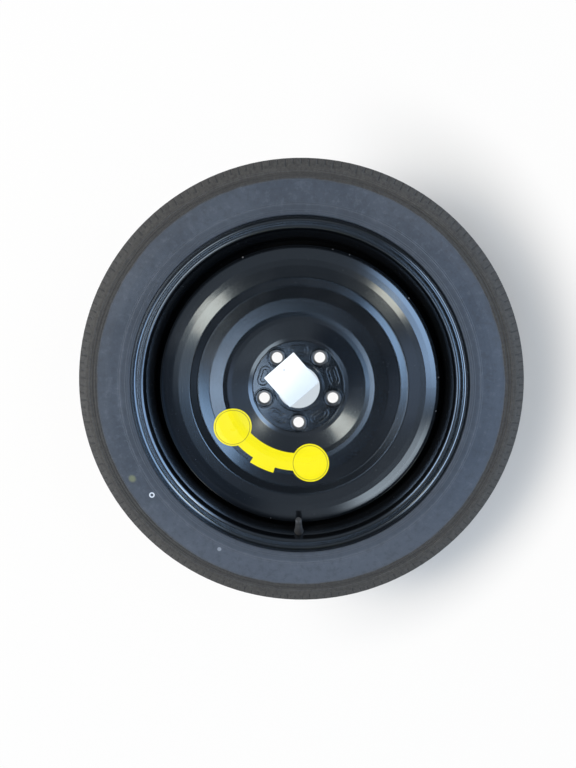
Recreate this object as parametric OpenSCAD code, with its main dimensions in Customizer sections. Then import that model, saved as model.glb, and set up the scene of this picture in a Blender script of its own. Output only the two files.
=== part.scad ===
// Narrow temporary spare wheel: pressed steel disc in a rolled steel rim,
// with a moulded tyre, a snap-in valve, a yellow sticker and a paper label.
// Origin: on the axis, at the face that bolts against the hub. +Z points outboard.
// Every outline is drawn as radius against height, then turned about Z.

/* [Hub] */
// Bolt circle diameter
bolt_circle_d = 108; // [100:0.5:114.3]
// Number of bolt holes
bolt_count = 5; // [4:1:6]
// Diameter of a bolt hole
bolt_hole_d = 16; // [13:0.1:17]
// Diameter at the mouth of a nut seat
nut_seat_d = 22; // [20:0.5:24]
// Height of a nut seat's boss over the hub pad
nut_boss_h = 2.8; // [1:0.1:4]
// Centre bore diameter
bore_d = 63.4; // [54:0.1:67]
// Height of the collar round the centre bore, over the hub pad
bore_collar_h = 5; // [3.5:0.1:8]
// Diameter of the flat hub pad
hub_pad_d = 136.4; // [134:0.2:142]

/* [Disc] */
// Thickness of the disc's sheet
disc_t = 4; // [3:0.1:4.5]
// Rise of the bowl's crown over the hub pad
crown_rise = 16.5; // [12:0.5:18]
// Radius where the bowl bends into its crown
crown_r = 105; // [101:0.5:112]
// Width of the crown, from that bend to its outer edge
crown_w = 26; // [20:0.5:28]
// Radius of the valley outside the crown
valley_r = 149; // [144:0.5:151]
// Depth of the valley below the crown
valley_drop = 1.6; // [1:0.1:4]
// Step up from the valley to the outer ring
ring_step = 3; // [2:0.1:5]
// Length of the skirt pressed into the rim's well
skirt_seat = 17; // [10:0.5:18]
// Length of an oblong pocket between two bolt holes
pocket_l = 28; // [20:0.5:30]
// Width of an oblong pocket
pocket_w = 14; // [10:0.5:16]
// Depth of an oblong pocket
pocket_depth = 1.3; // [0.5:0.1:1.8]

/* [Rim] */
// Diameter of the bead seats
bead_seat_d = 462; // [436.6:0.1:487.4]
// Width between the flanges
rim_width = 101.6; // [95:0.1:114.3]
// Distance from the rim's middle to the hub face
wheel_offset = 27; // [22:0.5:30]
// Thickness of the rim's sheet
rim_t = 2.5; // [2:0.1:3]
// Height of a flange over its bead seat
flange_h = 13.5; // [13:0.1:17.3]
// Width of a flange's rolled lip
flange_w = 10.2; // [9.5:0.1:12]
// Width of a bead seat, from the flange to its hump
bead_seat_w = 11.8; // [10:0.1:14]
// Width of the hump beside a bead seat
hump_w = 6.8; // [5:0.1:8]
// Width of the slope that carries the valve
valve_slope_w = 11.3; // [10.8:0.1:13]
// Width of the ledge below that slope
ledge_w = 15.9; // [13:0.1:18]
// Width of the well's floor
well_w = 19; // [17:0.5:22]
// Depth of the well below the bead seats
well_depth = 20; // [17:0.5:22]
// Length of one weld between disc and rim, in degrees
weld_arc = 24; // [10:1:36]
// Number of welds
weld_count = 8; // [4:1:10]
// Leg of a weld bead
weld_leg = 4; // [2:0.5:5]

/* [Tyre] */
// Width of the tyre across its sidewalls
tyre_w = 127; // [124:0.5:140]
// Overall diameter of the tyre
tyre_d = 657.2; // [640:0.2:700]
// Width of the tread
tread_w = 104; // [96:0.5:108]
// Fall of the tread from its middle to its edge
tread_drop = 4.6; // [2:0.1:7]
// Thickness of the sidewall
sidewall_t = 7; // [5:0.5:9]
// Thickness under the tread
crown_t = 10.5; // [9:0.5:14]
// Number of fine ribs round the upper sidewall
rib_count = 3; // [1:1:5]
// Distance from one rib to the next
rib_pitch = 4.4; // [3:0.1:6]
// Height of a rib
rib_h = 0.6; // [0.3:0.1:1]
// Width of a tread groove
groove_w = 6; // [3:0.5:8]
// Depth of a tread groove
groove_depth = 5; // [2:0.5:6]

/* [Valve] */
// Diameter of the valve hole
valve_hole_d = 11.5; // [10:0.1:12]
// Length of the valve from the rim to the end of its cap
valve_l = 37; // [34:0.5:39]
// Diameter of the threaded end of the stem
stem_thread_d = 7.74; // [7.5:0.02:8]
// Outside diameter of the cap
cap_d = 9.6; // [9.2:0.1:10.4]
// Length of the cap
cap_l = 12.4; // [11:0.1:13]
// Number of grip flutes round the cap
flute_count = 12; // [6:1:16]
// Diameter of the core's pin
core_pin_d = 1.3; // [1:0.05:1.5]
// Travel of the core's pin
core_travel = 1.2; // [0.5:0.1:1.5]

/* [Labels] */
// Side of the square paper label
label_side = 58; // [40:1:66]
// Diameter of the two round ends of the yellow sticker
sticker_disc_d = 56; // [40:1:60]
// Inner radius of the sticker's strip
sticker_in_r = 98; // [94:0.5:104]
// Outer radius of the sticker's strip
sticker_out_r = 124; // [116:0.5:128]
// Thickness of both labels
label_t = 0.25; // [0.15:0.05:0.4]

/* [Hidden] */
$fn = 180;

// Gap between two pieces that are pressed, bonded or glued together
seat_gap = 0.1;
// Gap of a fit that slides by hand
slide_gap = 0.08;
// Gap left between a flat shoulder and the curved sheet or soft end that it faces
face_gap = 0.3;
// Overshoot of a cut past the face that it opens
cut = 1;
// Turn that one straight piece of a rounded corner stands for, in degrees
corner_step = 15;

// Levels and radii that several pieces share
pad_top = disc_t;
rim_mid = -wheel_offset;
seat_r = bead_seat_d / 2;
rim_mid_r = seat_r - rim_t / 2;
well_in_r = seat_r - well_depth - rim_t;
flange_z = rim_width / 2 + rim_t / 2;
lip_z = rim_width / 2 + flange_w;
skirt_r = well_in_r - seat_gap - disc_t / 2;
hump_z = rim_width / 2 - bead_seat_w - hump_w;
ledge_z = hump_z - valve_slope_w - ledge_w;
well_top = rim_mid + ledge_z - 6;
skirt_end = well_top - skirt_seat;
first_bolt = -90;

// Geometry of a path: points are [radius, height], corners are [radius, height, fillet]
function unit(v) = v / norm(v);
function spot(c) = [c[0], c[1]];
function turn_to(from, to) = (to - from + 540) % 360 - 180;
function rounded(a, p, b, r) =
    let (u = unit(a - p), v = unit(b - p), half = acos(u * v) / 2)
    let (c = p + unit(u + v) * r / sin(half))
    let (s = p + u * r / tan(half) - c, e = p + v * r / tan(half) - c)
    let (start = atan2(s[1], s[0]), sweep = turn_to(start, atan2(e[1], e[0])))
    let (n = max(2, ceil(abs(sweep) / corner_step)))
    [for (i = [0:n]) c + r * [cos(start + sweep * i / n), sin(start + sweep * i / n)]];
function smooth_path(corners) =
    let (last = len(corners) - 1)
    [for (i = [0:last]) each i == 0 || i == last || corners[i][2] == 0 ? [spot(corners[i])]
        : rounded(spot(corners[i - 1]), spot(corners[i]), spot(corners[i + 1]), corners[i][2])];
function beside(path, i, d) =
    let (last = len(path) - 1)
    let (u = i > 0 ? unit(path[i] - path[i - 1]) : unit(path[1] - path[0]))
    let (v = i < last ? unit(path[i + 1] - path[i]) : u)
    let (m = unit(u + v))
    path[i] + d / (m * u) * [-m[1], m[0]];
function shell_outline(path, low, high) =
    concat([for (i = [0:len(path) - 1]) beside(path, i, low)],
        [for (i = [len(path) - 1:-1:0]) beside(path, i, high)]);
function mirrored(points, mid) =
    [for (i = [len(points) - 1:-1:0]) [points[i][0], 2 * mid - points[i][1]]];

// The disc's middle surface, from the bore collar out to the end of the skirt
crown_z = pad_top / 2 + crown_rise;
valley_z = crown_z - valley_drop;
disc_path = smooth_path([
    [bore_d / 2 + disc_t / 2, pad_top + bore_collar_h, 0],
    [bore_d / 2 + disc_t / 2, disc_t / 2, disc_t / 2 + 1.2],
    [hub_pad_d / 2 + 1.6, disc_t / 2, 4],
    [hub_pad_d / 2 + 7.6, disc_t / 2 + 3.6, 6],
    [crown_r, crown_z - 0.7, 34],
    [crown_r + crown_w, crown_z, 12],
    [valley_r, valley_z, 9],
    [valley_r + 11, valley_z + ring_step, 5],
    [skirt_r - 20.4, valley_z + ring_step - 4.6, 90],
    [skirt_r, disc_t / 2 + 5.2, 8],
    [skirt_r, skirt_end, 0]]);

// The valve sits in the slope between the outboard bead seat and the well
seat_fall = 1.35;
slope_top = [rim_mid_r + 1.1, rim_mid + hump_z];
slope_foot = [rim_mid_r - 9.2, rim_mid + hump_z - valve_slope_w];
slope_dir = unit(slope_foot - slope_top);
valve_out = [slope_dir[1], -slope_dir[0]];
valve_seat = slope_top * 0.48 + slope_foot * 0.52 + valve_out * rim_t / 2;
valve_lean = atan2(-valve_out[0], valve_out[1]);

// The rim's middle surface, from the outboard lip to the inboard lip
rim_path = smooth_path([
    [rim_mid_r + flange_h - 0.4, rim_mid + lip_z, 0],
    [rim_mid_r + flange_h, rim_mid + flange_z, 6.9],
    [rim_mid_r, rim_mid + flange_z, 5.5],
    [rim_mid_r - seat_fall, rim_mid + hump_z + hump_w, 3],
    [slope_top[0], slope_top[1], 2],
    [slope_foot[0], slope_foot[1], 3],
    [slope_foot[0] - 1.9, rim_mid + ledge_z, 4],
    [rim_mid_r - well_depth, well_top, 5],
    [rim_mid_r - well_depth, well_top - well_w, 6],
    [slope_top[0], rim_mid - hump_z, 3],
    [rim_mid_r - seat_fall, rim_mid - hump_z - hump_w, 3],
    [rim_mid_r, rim_mid - flange_z, 5.5],
    [rim_mid_r + flange_h, rim_mid - flange_z, 6.9],
    [rim_mid_r + flange_h - 0.4, rim_mid - lip_z, 0]]);

// The tyre's outboard half, from the middle of the tread to the middle of the liner
// The wall's bulge lies at a share of its free height, and the liner's at one of the air space
tyre_r = tyre_d / 2;
shoulder_r = tyre_r - tread_drop;
bead_face = rim_width / 2 - 3 * seat_gap;
bead_toe = hump_z + hump_w + 1;
flange_r = seat_r + flange_h;
wall_h = shoulder_r - flange_r;
air_h = tyre_r - crown_t - seat_r;
liner_z = tyre_w / 2 - sidewall_t;
shoulder = [shoulder_r - wall_h * 0.18, tyre_w / 2 - 3, 10];
bulge = [flange_r + wall_h * 0.42, tyre_w / 2 + 0.4, 60];
top_rib_r = shoulder_r - wall_h * 0.24;
function rib(r) =
    let (z = shoulder[1] + (bulge[1] - shoulder[1]) * (shoulder[0] - r) / (shoulder[0] - bulge[0]))
    [[r + 1.1, z, 0], [r + 0.4, z + rib_h, 0], [r - 0.4, z + rib_h, 0], [r - 1.1, z, 0]];
tyre_half = smooth_path([
    [tyre_r, 0, 0],
    [tyre_r - tread_drop * 0.15, tread_w * 0.2, 150],
    [tyre_r - tread_drop * 0.45, tread_w * 0.36, 100],
    [shoulder_r, tread_w / 2, 5],
    shoulder,
    for (i = [0:rib_count - 1]) each rib(top_rib_r - i * rib_pitch),
    bulge,
    [flange_r + 6.5, tyre_w / 2 - 1.3, 8],
    [flange_r + 2.2, lip_z + 0.4, 0],
    [flange_r + 0.6, lip_z - 1, 0],
    [flange_r + 0.6, bead_face, 8.6],
    [seat_r + seat_gap, bead_face, 5],
    [seat_r - seat_fall + 0.25, bead_toe, 1.5],
    [seat_r + 3, bead_toe - 1.4, 2],
    [seat_r + air_h * 0.18, liner_z - 9, 14],
    [seat_r + air_h * 0.37, liner_z, 24],
    [seat_r + air_h * 0.81, liner_z, 24],
    [seat_r + air_h - 3, tread_w / 2 - 8, 12],
    [seat_r + air_h, 0, 0]]);

// Middle of the paper label, and its turn
label_spot = [-10, 11];
label_turn = 41;

// Lengths along the valve, from the rim's visible face outwards
head_l = 6;
// Reach of the rubber shoulder and head past the neck in the valve hole
valve_flare = 1.5;
body_l = valve_l - cap_l - face_gap;
stem_end = valve_l - 1.5;
core_top = stem_end - 1.4;
core_low = core_top - 10;
core_bore_d = 4.4;
core_seat_d = 3.2;
stem_d = 5.2;
core_wall = 0.3;
spring_wire = 0.35;
spring_d = core_pin_d + 0.8;

module turned(points) {
    rotate_extrude() polygon(points);
}

// A round piece along its own axis, from one height to another
module rod(d, from, to) {
    translate([0, 0, from]) cylinder(d = d, h = to - from);
}

module at_valve() {
    rotate([0, 0, first_bolt])
        translate([valve_seat[0], 0, valve_seat[1]])
            rotate([0, -valve_lean, 0]) children();
}

module at_bolts(turned_by) {
    for (i = [0:bolt_count - 1])
        rotate([0, 0, first_bolt + turned_by + i * 360 / bolt_count])
            translate([bolt_circle_d / 2, 0, 0]) children();
}

// A rounded oblong that lies across the radius
module oblong(l, w) {
    square([w, l - w], center = true);
    for (side = [-1, 1])
        translate([0, side * (l - w) / 2]) circle(d = w, $fn = 48);
}

module tyre() {
    outer = [for (p = tyre_half) [p[0], p[1] + rim_mid]];
    color([0.13, 0.13, 0.14])
        difference() {
            turned(concat(outer, mirrored(outer, rim_mid)));
            for (place = [-0.32, -0.125, 0.125, 0.32])
                translate([0, 0, rim_mid + place * tread_w - groove_w / 2])
                    rotate_extrude()
                        translate([tyre_r - groove_depth - tread_drop * abs(place), 0])
                            square([groove_depth + tread_drop + cut, groove_w]);
        }
}

module rim() {
    color([0.07, 0.07, 0.08])
        difference() {
            turned(shell_outline(rim_path, -rim_t / 2, rim_t / 2));
            at_valve() rod(valve_hole_d, -rim_t - cut, cut);
        }
}

// Raised boss round a bolt hole, which the conical nut seat is cut into
module nut_boss() {
    top = pad_top + nut_boss_h;
    rotate_extrude($fn = 60)
        polygon([[bolt_hole_d / 2 - 1, disc_t / 2], [nut_seat_d / 2 + 4, disc_t / 2],
            [nut_seat_d / 2 + 1.6, top], [bolt_hole_d / 2 - 1, top]]);
}

// Bolt hole with a 60 degree seat that opens to nut_seat_d at the boss's top
module nut_hole() {
    seat_depth = (nut_seat_d - bolt_hole_d) / 2 / tan(30);
    top = pad_top + nut_boss_h;
    rod(bolt_hole_d, -cut, top);
    translate([0, 0, top - seat_depth])
        cylinder(d1 = bolt_hole_d, d2 = nut_seat_d, h = seat_depth);
    rod(nut_seat_d, top, top + cut);
}

module pocket() {
    translate([0, 0, pad_top - pocket_depth])
        linear_extrude(pocket_depth + cut)
            difference() {
                oblong(pocket_l, pocket_w);
                oblong(pocket_l - 8, pocket_w - 6.5);
            }
    translate([0, 0, pad_top - pocket_depth / 2])
        linear_extrude(pocket_depth) oblong(pocket_l - 8, pocket_w - 6.5);
}

module disc() {
    color([0.05, 0.05, 0.06])
        difference() {
            union() {
                turned(shell_outline(disc_path, -disc_t / 2, disc_t / 2));
                at_bolts(0) nut_boss();
            }
            at_bolts(0) nut_hole();
            at_bolts(180 / bolt_count) pocket();
        }
}

module weld_beads() {
    out_r = well_in_r - seat_gap;
    top = skirt_end - seat_gap;
    color([0.16, 0.16, 0.17])
        for (i = [0:weld_count - 1])
            rotate([0, 0, (i + 0.5) * 360 / weld_count - weld_arc / 2])
                rotate_extrude(angle = weld_arc)
                    polygon([[out_r, top], [out_r, top - weld_leg],
                        [out_r - weld_leg * 0.45, top - weld_leg * 0.85],
                        [out_r - weld_leg * 0.9, top - weld_leg * 0.4],
                        [out_r - weld_leg, top]]);
}

// Part of a flat ring between two radii and two angles
module sector(in_r, out_r, from, to) {
    n = ceil((to - from) / 3);
    steps = [for (i = [0:n]) from + (to - from) * i / n];
    polygon(concat([for (a = steps) in_r * [cos(a), sin(a)]],
        [for (i = [n:-1:0]) out_r * [cos(steps[i]), sin(steps[i])]]));
}

// Two round ends joined by a strip with a tab, as tall as the disc's pressing
module sticker_outline() {
    h = 2 * crown_z;
    mid_r = (sticker_in_r + sticker_out_r) / 2 + 3;
    for (a = [211, 278.8])
        rotate([0, 0, a]) translate([mid_r, 0, 0]) rod(sticker_disc_d, 0, h);
    linear_extrude(h) sector(sticker_in_r, sticker_out_r, 216, 274);
    linear_extrude(h) sector(sticker_in_r + 2, sticker_out_r + 8.5, 237, 253.5);
}

module yellow_sticker() {
    low = disc_t / 2 + seat_gap / 2;
    under = [for (p = disc_path) if (p[0] > hub_pad_d / 2 + 5 && p[0] < valley_r + 4) p];
    color([0.95, 0.85, 0.05])
        intersection() {
            turned(shell_outline(under, low, low + label_t));
            union() sticker_outline();
        }
}

module paper_label() {
    color([0.95, 0.95, 0.94])
        translate([label_spot[0], label_spot[1], pad_top + bore_collar_h + seat_gap / 2])
            rotate([0, 0, label_turn])
                translate([-label_side / 2, -label_side / 2, 0])
                    cube([label_side, label_side, label_t]);
}

// Rubber valve body, held in the rim by the groove between its head and shoulder
module valve_body() {
    neck = valve_hole_d - 2 * seat_gap;
    flare_r = neck / 2 + valve_flare;
    color([0.06, 0.06, 0.06])
        at_valve()
            difference() {
                rotate_extrude($fn = 72)
                    polygon([[0, -rim_t - head_l], [neck / 2, -rim_t - head_l],
                        [flare_r - 0.2, -rim_t - head_l + 2], [flare_r, -rim_t - face_gap],
                        [neck / 2, -rim_t - face_gap], [neck / 2, face_gap],
                        [flare_r, face_gap], [flare_r - 0.1, 2.2], [neck / 2 + 0.2, 6],
                        [cap_d / 2 + 0.2, body_l - 4], [cap_d / 2, body_l], [0, body_l]]);
                rod(stem_d + 2 * seat_gap, -rim_t - head_l - cut, body_l + cut);
            }
}

module valve_stem() {
    color([0.72, 0.6, 0.32])
        at_valve()
            difference() {
                union() {
                    rod(stem_d, -rim_t - head_l, body_l + seat_gap);
                    rod(stem_thread_d, body_l + seat_gap, stem_end);
                }
                rod(core_seat_d, -rim_t - head_l - cut, stem_end + cut);
                rod(core_bore_d + 2 * seat_gap, core_low + 5, stem_end + cut);
            }
}

// Brass plug of the core; its lower end is the seat that the seal closes
module core_housing() {
    color([0.75, 0.64, 0.36])
        at_valve()
            difference() {
                union() {
                    rod(core_bore_d, core_low + 5.4, core_top);
                    rod(core_seat_d - 2 * seat_gap, core_low, core_low + 5.4);
                }
                rod(core_seat_d - 2 * core_wall, core_low + 1, core_top - 2);
                rod(core_pin_d + 2 * slide_gap, core_low - cut, core_top + cut);
            }
}

module core_gasket() {
    color([0.75, 0.1, 0.1])
        at_valve()
            difference() {
                rod(core_bore_d, core_low + 5 + seat_gap / 2, core_low + 5.4 - seat_gap / 2);
                rod(core_seat_d, core_low, core_low + 8);
            }
}

// Points of the spring's round wire, one ring after another along its helix
function spring_ring(t, turns, h) =
    let (a = 360 * turns * t, mid = spring_d / 2)
    [for (k = [0:5]) let (w = spring_wire / 2 * [cos(60 * k), sin(60 * k)])
        [(mid + w[0]) * cos(a), (mid + w[0]) * sin(a), h * t + w[1]]];

module core_spring() {
    turns = 6;
    rings = turns * 12;
    low = core_low + 1 + spring_wire / 2 + seat_gap;
    h = core_top - 3.2 - spring_wire / 2 - seat_gap - low;
    points = [for (i = [0:rings]) each spring_ring(i / rings, turns, h)];
    sides = [for (i = [0:rings - 1], k = [0:5])
        [6 * i + k, 6 * i + (k + 1) % 6, 6 * i + 6 + (k + 1) % 6, 6 * i + 6 + k]];
    color([0.6, 0.6, 0.62])
        at_valve() translate([0, 0, low])
            polyhedron(points, concat([[5, 4, 3, 2, 1, 0]], sides,
                [[for (k = [0:5]) 6 * rings + k]]));
}

// Pin of the core, with the collar that the spring lifts and the cup that holds the seal
module core_pin() {
    color([0.8, 0.7, 0.4])
        at_valve() {
            rod(core_pin_d, core_low - 4, core_top + core_travel);
            rod(core_seat_d - 3 * core_wall, core_top - 3.2, core_top - 2 - seat_gap);
            rod(core_seat_d - 2 * core_wall, core_low - 2, core_low - 1);
        }
}

module core_seal() {
    color([0.1, 0.1, 0.1])
        at_valve()
            difference() {
                rod(core_seat_d - 2 * core_wall, core_low - 1 + seat_gap / 2,
                    core_low - seat_gap / 2);
                rod(core_pin_d + 2 * seat_gap, core_low - 2, core_low + cut);
            }
}

module valve_cap() {
    low = valve_l - cap_l;
    color([0.04, 0.04, 0.04])
        at_valve()
            difference() {
                rotate_extrude($fn = 72)
                    polygon([[0, low], [cap_d / 2 - 0.2, low],
                        [cap_d / 2, low + 1], [cap_d / 2 - 0.3, valve_l - 1.2],
                        [cap_d / 2 - 1.4, valve_l], [0, valve_l]]);
                rod(stem_thread_d + 2 * slide_gap, low - cut, stem_end + 0.4);
                for (i = [0:flute_count - 1])
                    rotate([0, 0, i * 360 / flute_count])
                        translate([cap_d / 2 + 0.35, 0, low + 2])
                            cylinder(d = 1.3, h = cap_l - 4, $fn = 12);
            }
}

tyre();
rim();
disc();
weld_beads();
yellow_sticker();
paper_label();
valve_body();
valve_stem();
core_housing();
core_gasket();
core_spring();
core_pin();
core_seal();
valve_cap();
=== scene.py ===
"""The finish of a narrow temporary spare wheel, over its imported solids, with studio and camera."""

import math

import bmesh
import bpy
from mathutils import Matrix, Vector


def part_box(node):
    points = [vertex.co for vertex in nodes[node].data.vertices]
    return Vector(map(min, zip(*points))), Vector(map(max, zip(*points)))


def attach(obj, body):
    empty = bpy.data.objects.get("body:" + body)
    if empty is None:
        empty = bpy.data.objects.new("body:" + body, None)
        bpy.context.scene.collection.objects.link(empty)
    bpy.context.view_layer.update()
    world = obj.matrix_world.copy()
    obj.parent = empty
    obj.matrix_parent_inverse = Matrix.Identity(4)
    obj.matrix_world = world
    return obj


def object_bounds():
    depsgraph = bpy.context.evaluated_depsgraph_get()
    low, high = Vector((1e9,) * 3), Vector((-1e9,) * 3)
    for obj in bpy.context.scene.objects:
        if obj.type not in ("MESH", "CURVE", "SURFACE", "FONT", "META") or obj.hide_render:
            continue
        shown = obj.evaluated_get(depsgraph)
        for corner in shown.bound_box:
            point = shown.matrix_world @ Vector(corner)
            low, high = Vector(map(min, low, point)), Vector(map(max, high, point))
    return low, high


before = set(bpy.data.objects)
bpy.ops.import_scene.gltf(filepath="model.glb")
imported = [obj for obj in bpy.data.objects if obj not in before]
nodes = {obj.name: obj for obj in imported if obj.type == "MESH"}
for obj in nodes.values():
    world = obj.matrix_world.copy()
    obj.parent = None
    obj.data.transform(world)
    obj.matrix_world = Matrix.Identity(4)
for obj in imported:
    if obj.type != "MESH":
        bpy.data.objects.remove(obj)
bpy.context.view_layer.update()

# Metres per millimetre
MM = 0.001

# Camera: held over the wheel, a little towards +Y, as the photo was taken
CAMERA_SPOT = (0.0170, 0.1030, 0.8590)
CAMERA_TILT_X = math.radians(-6.588)
CAMERA_TILT_Y = math.radians(2.172)
SENSOR = 36.0
PHOTO_HEIGHT_PX = 768
FOCAL_PX = 577

# Height of the tyre's middle, and the radius of the disc's outer edge, in metres
TYRE_MID_Z = (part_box("tyre")[0].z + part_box("tyre")[1].z) / 2
EDGE_R = 0.2065

# Small pale spots painted on the disc's outer edge: angle in degrees and size in metres
EDGE_SPOTS = [
    (4, 0.0016), (39, 0.0018), (69, 0.0013), (76, 0.0013), (113, 0.0018), (258, 0.0013), (350, 0.0014)]

# Rings that the mould left on the tyre's wall: radius and half width in millimetres
MOULD_LINES = [
    (249.2, 0.25), (252.0, 0.25), (259.6, 0.6), (262.2, 0.2), (292.6, 0.3), (304.0, 0.5), (306.4, 0.2)]

# Zones of the tyre's face, by radius in millimetres from the wheel's axis: where the painted shade by
# the bead ends, the shallow groove at the shoulder, and where the blue-grey wall turns to brown tread
BEAD_SHADE_END = (258.5, 256.5)
SHOULDER_GROOVE = (295.5, 302.5)
WALL_END = (291, 295.5)
TREAD_START = (313, 315)

# Cuts across the tread's shoulder: how many there are all the way round, and the radii in
# millimetres where the long and the short ones and their paler lips begin
SIPES = 180
LONG_CUTS = (309.5, 310.5)
SHORT_CUTS = (313.5, 315)
CUT_LIPS = (315.5, 317)

# How far from the tyre's middle the tread's own cuts end, in millimetres
TREAD_CUTS_END = (47, 45)

# The hub pad: its top, and the radius of its bolt circle, in metres, and how many bolts it has
PAD_TOP = 0.004
BOLT_R = 0.054
BOLTS = 5
FIRST_BOLT = -90

# The pressed beads on the hub pad, in millimetres: the long way, the short way or the radius, how
# far their middle lies above the pad's top, and how thick they are
POCKET_BEADS = [(29.4, 15.4, 0, 0.9), (19.4, 6.9, -0.55, 0.75)]
NUT_BEADS = [(12.1, 2.6, 0.8), (15.2, 0, 0.6)]
PAD_BEADS = [(68.4, 0, 0.8), (37.6, 0, 0.7)]

# The yellow sticker's round ends: their angles, the radius they lie on in metres, and the edges of
# the ring printed in each, in millimetres
STICKER_ENDS = (211, 278.8)
STICKER_R = 0.114
STICKER_RING = (25.0, 25.9)

# Marks on the tyre and the label: angle in degrees and radius in metres
DOT = (216.0, 0.2683)
FAINT_DOT = (243.8, 0.2676)
SCUFF = (208.4, 0.279)
SMUDGE = (129.3, 0.0333)

# The floor's half width, and the radii between which a painted shadow darkens it at the wheel's right,
# over the wheel's real shadow, in metres
FLOOR_HALF = 6
SHADOW_OUTER = (0.51, 0.38)
SHADOW_INNER = (0.20, 0.25)

# Tint of the light that the black paint reflects
PAINT_TINT = (0.62, 0.80, 1.0, 1)

# The room's bright and dark patches, as the paint reflects them. Each has its azimuth and half its
# width, the angles from straight up between which it lies, how soft its edge is, and its colour.
WINDOWS = [
    (212, 42, 38, 63, 8, (0.05, 0.07, 0.10)),   # dark corner, for the right of the bowl
    (180, 14, 26, 38, 8, (0.9, 0.95, 1.0)),     # pale wall
    (186, 46, 66, 84, 8, (6.0, 6.8, 8.0)),      # low at the left, for the right of the flange
    (188, 12, 5, 20, 6, (1.6, 1.5, 1.4)),       # overhead
    (229, 13, 6, 12, 5, (7.6, 8.8, 10.4)),      # small and high, for the left of the crown
    (214, 22, 22.5, 30, 5, (4.4, 5.8, 7.6)),    # for the right of the raised ring
    (20, 30, 45, 60, 12, (3.8, 4.8, 6.2)),      # at the right, for the disc's outer slope
    (8, 44, 67, 84, 9, (3.8, 5.0, 6.8)),        # low at the right, for the left of the flange
    (312, 22, 51, 67, 8, (4.0, 4.0, 3.9)),      # pale, at the lower right
    (350, 22, 22, 34, 7, (0.7, 0.8, 1.0)),      # faint, at the right
]

# Lamps, all a little warm: azimuth, angle from straight up, distance, size and power
WARM_RIGHT = (38, 40, 1.7, 0.42, 4)
WARM_LEFT = (150, 34, 1.7, 0.42, 4)
KEY = (174, 46, 2.2, 0.9, 31)


class Wire:
    """A socket in a shader tree. Arithmetic on it adds the Math nodes that work it out."""

    def __init__(self, paint, socket):
        self.paint = paint
        self.socket = socket

    def math(self, operation, *others):
        inputs = dict(enumerate((self, *others)))
        return self.paint.add("ShaderNodeMath", {"operation": operation}, inputs)

    def __add__(self, other):
        return self.math("ADD", other)

    def __radd__(self, other):
        return self.math("ADD", other)

    def __sub__(self, other):
        return self.math("SUBTRACT", other)

    def __rsub__(self, other):
        return (self * -1).math("ADD", other)

    def __mul__(self, other):
        return self.math("MULTIPLY", other)

    def __truediv__(self, other):
        return self.math("DIVIDE", other)

    def __abs__(self):
        return self.math("ABSOLUTE")

    def over(self, other):
        """The larger of two values."""
        return self.math("MAXIMUM", other)


class Paint:
    """A material or world that is built node by node."""

    def __init__(self, owner):
        owner.use_nodes = True
        self.owner = owner
        self.tree = owner.node_tree
        self.tree.nodes.clear()
        self.spots = {}

    def add(self, kind, settings=None, inputs=None, out=0):
        """Adds one node: its settings first, then its sockets, by name or place."""
        node = self.tree.nodes.new(kind)
        for name, value in (settings or {}).items():
            setattr(node, name, value)
        for key, value in (inputs or {}).items():
            socket = node.inputs[key]
            if isinstance(value, Wire):
                self.tree.links.new(value.socket, socket)
            else:
                socket.default_value = value
        return Wire(self, node.outputs[out]) if len(node.outputs) else node

    def mix(self, factor, low, high):
        """Blends two colours."""
        ends = [c if isinstance(c, Wire) else (*c, 1) for c in (low, high)]
        return self.add("ShaderNodeMix", {"data_type": "RGBA"}, {0: factor, 6: ends[0], 7: ends[1]}, 2)

    def step(self, value, low, high):
        """Rises smoothly from 0 at low to 1 at high; low may be the larger."""
        settings = {"interpolation_type": "SMOOTHSTEP"}
        if low < high:
            return self.add("ShaderNodeMapRange", settings, {0: value, 1: low, 2: high})
        return self.add("ShaderNodeMapRange", settings, {0: value, 1: high, 2: low, 3: 1, 4: 0})

    def band(self, value, low, high, soft):
        """1 between low and high, fading over soft on either side."""
        return self.step(value, low - soft, low + soft) * self.step(value, high + soft, high - soft)

    def spot(self):
        """Object coordinates."""
        if "spot" not in self.spots:
            self.spots["spot"] = self.add("ShaderNodeTexCoord", out="Object")
        return self.spots["spot"]

    def xyz(self, vector=None):
        source = vector or self.spot()
        parts = self.add("ShaderNodeSeparateXYZ", None, {0: source})
        return [Wire(self, socket) for socket in parts.socket.node.outputs]

    def polar(self):
        """Radius from the wheel's axis, angle round it in radians, and height."""
        if "polar" not in self.spots:
            x, y, z = self.xyz()
            radius = (x * x + y * y).math("SQRT")
            self.spots["polar"] = (radius, y.math("ARCTAN2", x), z)
        return self.spots["polar"]

    def vector(self, x, y, z):
        return self.add("ShaderNodeCombineXYZ", None, {0: x, 1: y, 2: z})

    def noise(self, scale, detail=2, rough=0.5, vector=None):
        inputs = {
            "Vector": vector or self.spot(),
            "Scale": scale,
            "Detail": detail,
            "Roughness": rough,
        }
        return self.add("ShaderNodeTexNoise", None, inputs)

    def blob(self, degrees, radius, size=MM):
        """Distance from a point of the wheel's face, given by angle and radius, in units of size."""
        angle = math.radians(degrees)
        x, y = self.xyz()[:2]
        dx = x - radius * math.cos(angle)
        dy = y - radius * math.sin(angle)
        return (dx * dx + dy * dy).math("SQRT") / size

    def bump(self, height, strength, distance):
        inputs = {"Height": height, "Strength": strength, "Distance": distance}
        return self.add("ShaderNodeBump", None, inputs)

    def largest(self, values):
        """The largest of several values."""
        top = values[0]
        for value in values[1:]:
            top = top.over(value)
        return top

    def surface(self, inputs):
        shader = self.add("ShaderNodeBsdfPrincipled", None, inputs)
        self.add("ShaderNodeOutputMaterial", None, {0: shader})
        return self.owner


def material(name):
    """A new, empty material."""
    return Paint(bpy.data.materials.new(name))


def coat(node, finish):
    """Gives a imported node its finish."""
    mesh = nodes[node].data
    mesh.materials.clear()
    mesh.materials.append(finish)
    for polygon in mesh.polygons:
        polygon.material_index = 0


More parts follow.
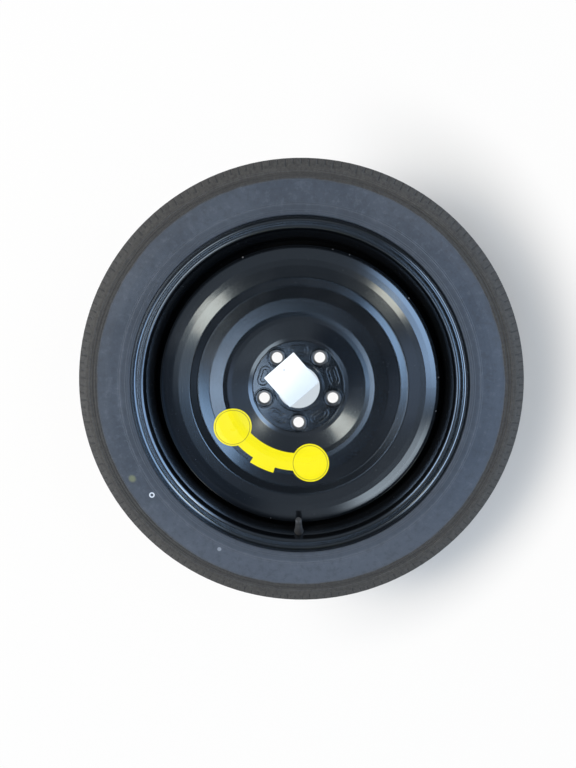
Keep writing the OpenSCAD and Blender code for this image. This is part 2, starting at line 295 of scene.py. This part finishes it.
def black_paint():
    """Semi-gloss black dip coat: orange peel, specks, settled dust and small pale spots on the disc's
    edge.
    """
    paint = material("black_paint")
    cloud = paint.noise(9, 4, 0.6)
    grain = paint.noise(900, 2, 0.5)
    speck = paint.step(paint.noise(520, 1, 0.5), 0.76, 0.82)
    dust = paint.step(cloud, 0.45, 0.75)
    base = paint.mix(dust * 0.5, (0.0026, 0.0030, 0.0036), (0.0075, 0.0075, 0.0075))
    base = paint.mix(speck * 0.25, base, (0.09, 0.085, 0.08))
    # Small pale grey spots on the disc's outer edge
    edge_spots = paint.largest([
        paint.step(paint.blob(degrees, EDGE_R, size), 1, 0.6) for degrees, size in EDGE_SPOTS])
    pale_spots = edge_spots * paint.step(grain, 0.42, 0.55)
    base = paint.mix(pale_spots, base, (0.20, 0.20, 0.21))
    rough = 0.17 + dust * 0.05 + grain * 0.03 + speck * 0.2 + pale_spots * 0.3
    peel = paint.noise(260, 2, 0.5)
    normal = paint.bump(peel, 0.05, 0.0005)
    return paint.surface({
        "Base Color": base,
        "Roughness": rough,
        "Specular IOR Level": 1.0,
        "Specular Tint": PAINT_TINT,
        "Coat Weight": 0.3,
        "Coat Roughness": 0.10,
        "Normal": normal,
    })


def weld_coat():
    """Black paint over the ripples of a weld."""
    paint = material("weld_metal")
    angle = paint.polar()[1]
    ripple = (angle * 110).math("SINE")
    spatter = paint.noise(600, 3, 0.6)
    return paint.surface({
        "Base Color": paint.mix(spatter, (0.008, 0.008, 0.009), (0.024, 0.023, 0.022)),
        "Roughness": 0.34 + spatter * 0.2,
        "Normal": paint.bump(ripple * 0.5 + spatter * 0.6, 0.6, 0.0006),
    })


def tyre_rubber():
    """Moulded rubber: blue-grey wall with mould lines and stains, brown tread with sipes and dust;
    painted sheen makes the wall paler at the bottom and bluer at the right, and painted shade darkens
    it by the bead, in the shoulder groove and in the sipes.
    """
    paint = material("tyre_rubber")
    radius, angle, height = paint.polar()
    mm = radius * 1000
    cloud = paint.noise(11, 4, 0.6)
    patch = paint.noise(26, 3, 0.6)
    grain = paint.noise(1400, 2, 0.6)
    streak = paint.noise(7, 4, 0.65, paint.vector(angle * 5.0, radius * 14, height * 14))

    wall = paint.mix(paint.step(cloud, 0.3, 0.7), (0.024, 0.032, 0.045), (0.036, 0.046, 0.062))
    wall = paint.mix(paint.step(patch, 0.52, 0.70) * 0.35, wall, (0.020, 0.028, 0.040))
    wall = paint.mix(paint.step(streak, 0.52, 0.74) * 0.3, wall, (0.085, 0.100, 0.125))
    x, y = paint.xyz()[:2]
    # Painted sheen: the wall paler towards the bottom
    wall = paint.mix(paint.step(y, -0.06, -0.27) * 0.6, wall, (0.056, 0.067, 0.086))
    # Painted sheen: the wall bluer towards the right, where the blue window light falls
    wall = paint.mix(paint.step(x, 0.12, 0.28) * 0.35, wall, (0.026, 0.044, 0.074))
    fine = paint.noise(120, 4, 0.65)
    wall = paint.mix(paint.step(fine, 0.50, 0.66) * 0.35, wall, (0.018, 0.023, 0.031))
    wall = paint.mix(paint.step(fine, 0.44, 0.30) * 0.25, wall, (0.080, 0.092, 0.110))
    # Painted shade on the wall by the bead, next to the rim's flange
    bead = paint.step(mm, *BEAD_SHADE_END)
    wall = paint.mix(bead * 0.45, wall, (0.020, 0.027, 0.038))
    groove = paint.band(mm, *SHOULDER_GROOVE, 1.2)
    edge = mm + patch * 5 - 2.5
    outer = paint.step(edge, *WALL_END)
    brown = paint.mix(cloud, (0.024, 0.0225, 0.0205), (0.040, 0.0375, 0.033))
    brown = paint.mix(paint.step(grain, 0.55, 0.72) * 0.25, brown, (0.075, 0.070, 0.062))
    brown = paint.mix(paint.step(streak, 0.55, 0.8) * 0.35, brown, (0.065, 0.060, 0.052))
    scratch = paint.noise(1, 3, 0.7, paint.vector(angle * 85, radius * 190, height * 190))
    brown = paint.mix(paint.step(scratch, 0.51, 0.62) * 0.5, brown, (0.012, 0.0115, 0.011))
    brown = paint.mix(paint.step(scratch, 0.47, 0.36) * 0.25, brown, (0.070, 0.067, 0.060))
    colour = paint.mix(outer, wall, brown)
    # Painted shade in the shoulder groove
    colour = paint.mix(groove * 0.45, colour, (0.020, 0.020, 0.020))

    # Fine lines left by the mould, as rings round the wall
    lines = paint.largest([
        paint.band(mm, place - width, place + width, 0.25) for place, width in MOULD_LINES])
    colour = paint.mix(lines * 0.18, colour, (0.105, 0.112, 0.125))

    # Sipes: thin cuts across the shoulder, a long one and then two short ones, painted dark as the
    # shade in them
    turns = angle * (SIPES / math.tau)
    off = abs(turns.math("FRACT") - 0.5)
    long_off = abs((turns / 3).math("FRACT") - 0.5)
    short_cut = paint.step(off, 0.16, 0.08) * paint.step(mm, *SHORT_CUTS)
    long_cut = paint.step(long_off, 0.045, 0.022) * paint.step(mm, *LONG_CUTS)
    inward = abs(height - TYRE_MID_Z) * 1000
    on_tread = paint.step(mm, *TREAD_START)
    zig = ((height * 260).math("SINE") * 0.25 + turns).math("FRACT") - 0.5
    zig_cut = paint.step(abs(zig), 0.07, 0.035) * paint.step(inward, *TREAD_CUTS_END) * on_tread
    sipe = short_cut.over(long_cut).over(zig_cut)
    # Painted shade in the cuts
    colour = paint.mix(sipe * 0.7, colour, (0.009, 0.0088, 0.0085))
    # Paler lips beside the cuts
    lip = paint.step(off, 0.15, 0.10) * paint.step(off, 0.05, 0.08) * paint.step(mm, *CUT_LIPS)
    colour = paint.mix(lip * 0.18, colour, (0.12, 0.11, 0.095))

    # Two inspection dots of white paint and a pale green scuff
    spot = paint.blob(*DOT)
    colour = paint.mix(paint.band(spot, 2.3, 4.0, 0.5) * 0.85, colour, (0.55, 0.60, 0.66))
    faint = paint.blob(*FAINT_DOT)
    colour = paint.mix(paint.step(faint, 3.6, 2.2) * 0.3, colour, (0.45, 0.50, 0.56))
    scuff = paint.step(paint.blob(*SCUFF) + patch * 7, 11, 6.5)
    colour = paint.mix(scuff * 0.35, colour, (0.22, 0.24, 0.10))

    rough = 0.50 + outer * 0.24 + cloud * 0.1
    relief = grain * 0.3 + fine * 0.5 + lines * 0.9 + streak * 0.3 - sipe * 2.2 - groove * 0.8
    return paint.surface({
        "Base Color": colour,
        "Roughness": rough,
        "Specular IOR Level": 0.45,
        "Normal": paint.bump(relief, 0.55, 0.0007),
    })


def yellow_film():
    """Glossy yellow film with a thin dark ring inside each round end, and slight creases."""
    paint = material("yellow_film")
    cloud = paint.noise(30, 3, 0.5)
    colour = paint.mix(cloud, (0.60, 0.51, 0.003), (0.68, 0.59, 0.005))
    ring = paint.largest([
        paint.band(paint.blob(degrees, STICKER_R), *STICKER_RING, 0.25) for degrees in STICKER_ENDS])
    colour = paint.mix(ring * 0.8, colour, (0.03, 0.03, 0.02))
    speck = paint.step(paint.noise(700, 1, 0.5), 0.72, 0.80)
    colour = paint.mix(speck * 0.3, colour, (0.30, 0.25, 0.02))
    crease = paint.noise(45, 2, 0.4) + paint.noise(260, 2, 0.5) * 0.15
    return paint.surface({
        "Base Color": colour,
        "Roughness": 0.24 + cloud * 0.12 + ring * 0.2,
        "Specular IOR Level": 0.32,
        "Normal": paint.bump(crease, 0.12, 0.001),
    })


def white_paper():
    """Plain white paper with faint fibres and one small smudge; painted shade greys it towards its
    lower right.
    """
    paint = material("white_paper")
    x, y = paint.xyz()[:2]
    fibre = paint.noise(700, 3, 0.6)
    cloud = paint.noise(25, 2, 0.5)
    # Painted shade: the paper greyer towards its lower right
    painted_shade = paint.step(x - y + cloud * 0.02, -0.055, 0.030)
    colour = paint.mix(painted_shade, (0.77, 0.79, 0.80), (0.48, 0.54, 0.59))
    smudge = paint.step(paint.blob(*SMUDGE) + fibre * 1.5, 3.0, 1.6)
    colour = paint.mix(smudge * 0.6, colour, (0.16, 0.17, 0.18))
    return paint.surface({
        "Base Color": colour,
        "Roughness": 0.6 + fibre * 0.1,
        "Normal": paint.bump(fibre, 0.1, 0.0002),
    })


def plain_rubber(name, tone):
    """Smooth rubber or plastic with a slightly uneven tone."""
    paint = material(name)
    cloud = paint.noise(300, 3, 0.6)
    low = [c * 0.7 for c in tone]
    colour = paint.mix(cloud, low, tone)
    return paint.surface({
        "Base Color": colour,
        "Roughness": 0.5 + cloud * 0.2,
        "Normal": paint.bump(paint.noise(2500, 2), 0.15, 0.0001),
    })


def turned_metal(name, tone, rough):
    """Bare metal with a slightly uneven gloss."""
    paint = material(name)
    cloud = paint.noise(500, 3, 0.6)
    colour = paint.mix(cloud, [c * 0.8 for c in tone], tone)
    return paint.surface({
        "Base Color": colour,
        "Metallic": 1.0,
        "Roughness": rough + cloud * 0.15,
        "Normal": paint.bump(paint.noise(3000, 2), 0.1, 0.0001),
    })


def light_path(paint):
    """Whether a ray comes from the camera, from gloss, or through something clear."""
    outputs = paint.add("ShaderNodeLightPath").socket.node.outputs
    kinds = ("Camera", "Glossy", "Transmission")
    return [Wire(paint, outputs["Is %s Ray" % kind]) for kind in kinds]


def floor_white():
    """Pale floor, lifted to white where it is seen; painted shadow lowers the lift in a band at the
    wheel's right, over its real shadow, and painted shade greys it through the bore.
    """
    paint = material("floor_white")
    ray, glossy, clear = light_path(paint)
    radius, angle = paint.polar()[:2]
    near = paint.step(radius, *SHADOW_OUTER) * paint.step(radius, *SHADOW_INNER)
    # Painted shadow: less lift in a band at the wheel's right, so the dim matt floor shows there over
    # the real shadow
    side = paint.step(abs(angle + 0.06), 1.6, 0.8) * near
    # Painted shade: the floor seen through the bore glows grey-blue instead of white
    bore = paint.step(paint.blob(260, 0.011, 1.0), 0.044, 0.040)
    lift = 0.95 - side * 0.89
    white = paint.mix(bore, (1, 1, 1), (0.63, 0.70, 0.76))
    matt = paint.add("ShaderNodeBsdfDiffuse", None, {"Color": (0.52, 0.50, 0.47, 1)})
    glow = paint.add("ShaderNodeEmission", None, {"Color": white, "Strength": 1.0})
    seen = ray.over(glossy).over(clear)
    both = paint.add("ShaderNodeMixShader", None, {0: seen * lift, 1: matt, 2: glow})
    paint.add("ShaderNodeOutputMaterial", None, {0: both})
    return paint.owner


def mesh_object(name, shape, finish):
    """Turns a bmesh into a smooth object with one finish."""
    for face in shape.faces:
        face.smooth = True
    mesh = bpy.data.meshes.new(name)
    shape.to_mesh(mesh)
    shape.free()
    mesh.materials.append(finish)
    thing = bpy.data.objects.new(name, mesh)
    bpy.context.scene.collection.objects.link(thing)
    return thing


def wire_end(shape, spot, thick):
    """A small upright circle at a spot, as the end of a round wire that runs along Y."""
    verts = bmesh.ops.create_circle(shape, segments=8, radius=thick)["verts"]
    upright = Matrix.Rotation(math.pi / 2, 3, "X")
    bmesh.ops.rotate(shape, verts=verts, cent=(0, 0, 0), matrix=upright)
    bmesh.ops.translate(shape, verts=verts, vec=spot)
    return verts + list({edge for vert in verts for edge in vert.link_edges})


def bent(shape, geometry, middle, steps, angle=math.pi):
    """Spins the end of a wire about an upright axis, and gives its new end."""
    full_turn = angle == math.tau
    spun = bmesh.ops.spin(
        shape, geom=geometry, cent=middle, axis=(0, 0, 1), angle=angle, steps=steps,
        use_merge=full_turn)
    return spun["geom_last"]


def pulled(shape, geometry, travel):
    """Draws the end of a wire out in a straight line."""
    edges = [item for item in geometry if isinstance(item, bmesh.types.BMEdge)]
    drawn = bmesh.ops.extrude_edge_only(shape, edges=edges)["geom"]
    verts = [item for item in drawn if isinstance(item, bmesh.types.BMVert)]
    bmesh.ops.translate(shape, verts=verts, vec=(0, travel, 0))
    return verts + [item for item in drawn if isinstance(item, bmesh.types.BMEdge)]


def round_bead(radius, height, thick, steps=96):
    """A pressed bead round a circle."""
    shape = bmesh.new()
    bent(shape, wire_end(shape, (radius, 0, height), thick), (0, 0, 0), steps, math.tau)
    return shape


def oblong_bead(length, width, height, thick):
    """A pressed bead round an oblong whose long side runs along Y."""
    shape = bmesh.new()
    half = (length - width) / 2
    end = wire_end(shape, (width / 2, half, height), thick)
    end = bent(shape, end, (0, half, 0), 12)
    end = pulled(shape, end, -2 * half)
    end = bent(shape, end, (0, -half, 0), 12)
    pulled(shape, end, 2 * half)
    bmesh.ops.remove_doubles(shape, verts=shape.verts, dist=0.00001)
    return shape


def hub_beads(finish):
    """The rounded edges that the press left round each pocket, nut seat, the pad and the collar."""
    shape = bmesh.new()

    def take(bead, *places):
        bmesh.ops.recalc_face_normals(bead, faces=bead.faces)
        for place in places:
            copy = bead.copy()
            bmesh.ops.transform(copy, matrix=place, verts=copy.verts)
            mesh = bpy.data.meshes.new("bead")
            copy.to_mesh(mesh)
            copy.free()
            shape.from_mesh(mesh)
            bpy.data.meshes.remove(mesh)
        bead.free()

    pitch = 360 / BOLTS

    def round_hub(first):
        at_bolt = Matrix.Translation((BOLT_R, 0, 0))
        turns = [math.radians(first + i * pitch) for i in range(BOLTS)]
        return [Matrix.Rotation(turn, 4, "Z") @ at_bolt for turn in turns]

    nuts, pockets = round_hub(FIRST_BOLT), round_hub(FIRST_BOLT + pitch / 2)
    for length, width, above, thick in POCKET_BEADS:
        take(oblong_bead(length * MM, width * MM, PAD_TOP + above * MM, thick * MM), *pockets)
    for radius, above, thick in NUT_BEADS:
        take(round_bead(radius * MM, PAD_TOP + above * MM, thick * MM, 48), *nuts)
    for radius, above, thick in PAD_BEADS:
        take(round_bead(radius * MM, PAD_TOP + above * MM, thick * MM), Matrix())
    beads = mesh_object("hub_beads", shape, finish)
    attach(beads, "wheel")


def lay_floor():
    """A plain floor under the wheel."""
    shape = bmesh.new()
    bmesh.ops.create_grid(shape, x_segments=1, y_segments=1, size=FLOOR_HALF)
    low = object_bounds()[0].z
    bmesh.ops.translate(shape, verts=shape.verts, vec=(0, 0, low))
    mesh_object("floor", shape, floor_white())


def direction(azimuth, off_zenith):
    """Unit vector towards a place in the studio, by its azimuth and its angle from straight up."""
    around = math.radians(azimuth)
    down = math.radians(off_zenith)
    return Vector((
        math.sin(down) * math.cos(around),
        math.sin(down) * math.sin(around),
        math.cos(down),
    ))


def lamp(name, azimuth, off_zenith, distance, size, power, colour):
    """A round lamp that points at the origin."""
    light = bpy.data.lights.new(name, "AREA")
    light.shape = "DISK"
    light.size = size
    light.energy = power
    light.color = colour
    thing = bpy.data.objects.new(name, light)
    bpy.context.scene.collection.objects.link(thing)
    towards = direction(azimuth, off_zenith)
    thing.location = towards * distance
    thing.rotation_euler = towards.to_track_quat("Z", "Y").to_euler()
    return thing


def studio():
    """Dim room with soft windows and three lamps; their places are read from the reflections."""
    world = bpy.data.worlds.new("studio")
    bpy.context.scene.world = world
    paint = Paint(world)
    towards = paint.add("ShaderNodeTexCoord", out="Generated")
    x, y, z = paint.xyz(towards)
    around = y.math("ARCTAN2", x) * (180 / math.pi)
    down = z.math("ARCCOSINE") * (180 / math.pi)
    sky = paint.mix(paint.step(down, 12, 42), (0.040, 0.048, 0.058), (0.34, 0.35, 0.37))

    for middle, half, high, low, soft, colour in WINDOWS:
        apart = abs((around - middle).math("WRAP", 180, -180))
        across = paint.step(apart, half + soft, half - soft)
        sky = paint.mix(across * paint.band(down, high, low, soft * 0.4), sky, colour)

    # Past the floor's edge the camera sees a plain pale backdrop. Gloss sees it near the horizon
    # only, and the windows everywhere else.
    camera_ray, glossy_ray, clear_ray = light_path(paint)
    backdrop = camera_ray.over(clear_ray).over(glossy_ray * paint.step(down, 83, 88))
    shade = paint.add("ShaderNodeBackground", None, {"Color": sky, "Strength": 1.0})
    pale = paint.add("ShaderNodeBackground", None, {"Color": (1, 1, 1, 1), "Strength": 1.0})
    both = paint.add("ShaderNodeMixShader", None, {0: backdrop, 1: shade, 2: pale})
    paint.add("ShaderNodeOutputWorld", None, {0: both})

    lamp("warm_lamp_right", *WARM_RIGHT, (1.0, 0.84, 0.62))
    lamp("warm_lamp_left", *WARM_LEFT, (1.0, 0.88, 0.70))
    key = lamp("key_lamp", *KEY, (1.0, 0.92, 0.80))
    key.visible_glossy = False


def set_camera():
    """The camera at the photo's place and angle."""
    data = bpy.data.cameras.new("camera")
    data.sensor_fit = "VERTICAL"
    data.sensor_height = SENSOR
    data.lens = FOCAL_PX * SENSOR / PHOTO_HEIGHT_PX
    data.clip_start = 0.01
    camera = bpy.data.objects.new("camera", data)
    bpy.context.scene.collection.objects.link(camera)
    tilt = Matrix.Rotation(CAMERA_TILT_X, 4, "X") @ Matrix.Rotation(CAMERA_TILT_Y, 4, "Y")
    camera.matrix_world = Matrix.Translation(CAMERA_SPOT) @ tilt
    bpy.context.scene.camera = camera


set_camera()
studio()
lay_floor()

paint_finish = black_paint()
brass = turned_metal("valve_brass", (0.72, 0.56, 0.28), 0.22)
black_rubber = plain_rubber("valve_rubber", (0.035, 0.035, 0.036))
seal_rubber = plain_rubber("seal_rubber", (0.09, 0.05, 0.045))
coat("rim", paint_finish)
coat("disc", paint_finish)
hub_beads(paint_finish)
coat("weld_beads", weld_coat())
coat("tyre", tyre_rubber())
coat("yellow_sticker", yellow_film())
coat("paper_label", white_paper())
coat("valve_body", black_rubber)
coat("valve_cap", plain_rubber("cap_plastic", (0.03, 0.03, 0.03)))
coat("valve_stem", brass)
coat("core_housing", brass)
coat("core_pin", brass)
coat("core_gasket", seal_rubber)
coat("core_seal", seal_rubber)
coat("core_spring", turned_metal("spring_steel", (0.6, 0.6, 0.62), 0.3))

bpy.context.scene.view_settings.view_transform = "Standard"
